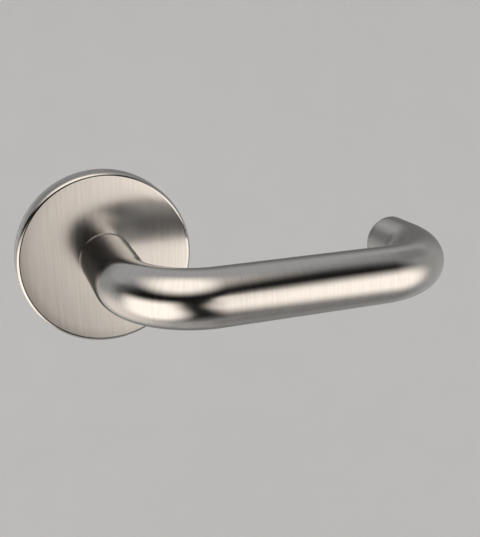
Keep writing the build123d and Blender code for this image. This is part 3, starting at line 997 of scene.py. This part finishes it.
def bumper_rubber():
    finish = Finish("bumper_rubber", {"Specular IOR Level": 0.35})
    place = finish.place()
    bloom = finish.noise(place, (500, 500, 500), 3.0)
    grain = finish.noise(place, (4000, 4000, 4000))
    finish.feed({
        "Base Color": finish.mixed(0.4 + 1.2 * bloom, RUBBER, RUBBER_BLOOM),
        "Roughness": 0.72 + 0.20 * bloom,
        "Normal": finish.bump(8 * MICRON * grain),
    })
    return finish


nylon_finish = bearing_nylon()
eased("front_bush", nylon_finish, MOULDED_EDGE)
eased("rear_bush", nylon_finish, MOULDED_EDGE)
eased("stop_bumpers", bumper_rubber(), BROKEN_EDGE)

# %% [markdown]
# ## Hardened and blackened steel
#
# The pins are ground bright, the flat springs are hardened and dark with a trace of blue from the
# furnace, and the set screw is blackened in a hot bath. The furnace colour could be a ramp along the
# piece, but it changes slowly and without a direction, so broad noise mixes it in.

# %% Spring steel, pin and black finishes
TEMPERED = (0.16, 0.165, 0.18, 1.0)
TEMPERED_BLUE = (0.24, 0.26, 0.31, 1.0)
BLACKENED = (0.018, 0.018, 0.020, 1.0)
BLACKENED_WORN = (0.06, 0.06, 0.062, 1.0)


def tempered(name, lines):
    """Dark spring steel. The lines are a noise that follows the way the strip or wire was drawn."""
    finish = Finish(name, {"Metallic": 1.0})
    furnace = finish.noise(finish.place(), (120, 120, 120), 3.0)
    drawn = lines(finish)
    finish.feed({
        "Base Color": finish.mixed(0.5 + 1.6 * furnace + 0.5 * drawn, TEMPERED, TEMPERED_BLUE),
        "Roughness": 0.30 + 0.10 * furnace + 0.12 * drawn,
        "Normal": finish.bump(2 * MICRON * drawn),
    })
    return finish


def strip_lines(finish):
    return finish.noise(finish.place(), (300, 5000, 300))


def black_oxide():
    finish = Finish("black_oxide", {"Metallic": 0.6})
    worn = finish.noise(finish.place(), (900, 900, 900), 3.0)
    finish.feed({
        "Base Color": finish.mixed(0.4 + 1.5 * worn, BLACKENED, BLACKENED_WORN),
        "Roughness": 0.42 + 0.20 * worn,
        "Normal": finish.bump(2 * MICRON * worn),
    })
    return finish


strip_finish = tempered("spring_strip", strip_lines)
for node in ("disc_spring", "circlip", "cover_snap_ring"):
    eased(node, strip_finish, FINE_EDGE)
pin_finish = turned_steel()
for node in ("stop_pins", "spring_anchor_pin"):
    eased(node, pin_finish, BAR_EDGE)
eased("grub_screw", black_oxide(), FINE_EDGE)

# %% [markdown]
# ## The return spring
#
# This spring lifts the lever. It is wound from flat wire with rounded corners, and each end runs straight
# on as a leg: the front leg rests on a pin in the housing and the rear leg is pushed by the tab of the
# drive plate. A Screw modifier would make the coil but not the legs, so a walk along the wire sets a
# section at each station.

# %% Stations along the wire
spring_low, spring_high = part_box("return_spring")
WIRE_W = 1.8 * MM
WIRE_H = 1.6 * MM
WIRE_CORNER = 0.4 * MM
COIL_PITCH = 1.7 * MM
COIL_R = spring_high.x - WIRE_W / 2
COIL_START = math.radians(200.0)
COIL_END = math.radians(353.0 - 3 * 360.0)
LEG = 10.0 * MM
COIL_STEPS = 200
LEG_STEPS = 6
coil_wound = COIL_START - COIL_END
coil_rise = COIL_PITCH * coil_wound / (2 * math.pi)
slope = COIL_PITCH / (2 * math.pi * COIL_R)
coil_y = (spring_low.y + spring_high.y - coil_rise) / 2
stations = []
for step in range(-LEG_STEPS, COIL_STEPS + LEG_STEPS + 1):
    wound = coil_wound * min(max(step / COIL_STEPS, 0.0), 1.0)
    angle = COIL_START - wound
    outward = Vector((math.cos(angle), 0.0, math.sin(angle)))
    along = Vector((math.sin(angle), slope, -math.cos(angle))).normalized()
    past = LEG * (min(step, 0) + max(step - COIL_STEPS, 0)) / LEG_STEPS
    middle = COIL_R * outward + Vector((0.0, coil_y + COIL_PITCH * wound / (2 * math.pi), 0.0))
    stations.append((COIL_R * wound + past, middle + past * along, outward, along))
print("spring wire, mm:", round((stations[-1][0] - stations[0][0]) / MM, 1))

# %% Wind the spring
wire_outline = []
for corner_x, corner_y, start in ((1, 1, 0), (-1, 1, 90), (-1, -1, 180), (1, -1, 270)):
    middle = (corner_x * (WIRE_W / 2 - WIRE_CORNER), corner_y * (WIRE_H / 2 - WIRE_CORNER))
    wire_outline += rounded(middle, WIRE_CORNER, start, start + 90, 4)
wire_points = []
wire_map = []
for length, middle, outward, along in stations:
    backward = along.cross(outward)
    for across, upward in wire_outline:
        wire_points.append(middle + across * outward + upward * backward)
        wire_map.append((length, across, upward))
wire_count = len(wire_outline)
wire_faces = grid_faces(len(stations), wire_count)
wire_faces.append(list(range(wire_count)))
wire_faces.append([len(wire_points) - wire_count + number for number in range(wire_count)])
spring = link_mesh("return_spring_wire", wire_points, wire_faces)
store_map(spring, "straight_wire", wire_map)


def wire_lines(finish):
    return finish.noise(finish.stored("straight_wire", "Vector"), (60, 5000, 5000))


stand_for("return_spring", spring, tempered("spring_wire", wire_lines))
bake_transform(spring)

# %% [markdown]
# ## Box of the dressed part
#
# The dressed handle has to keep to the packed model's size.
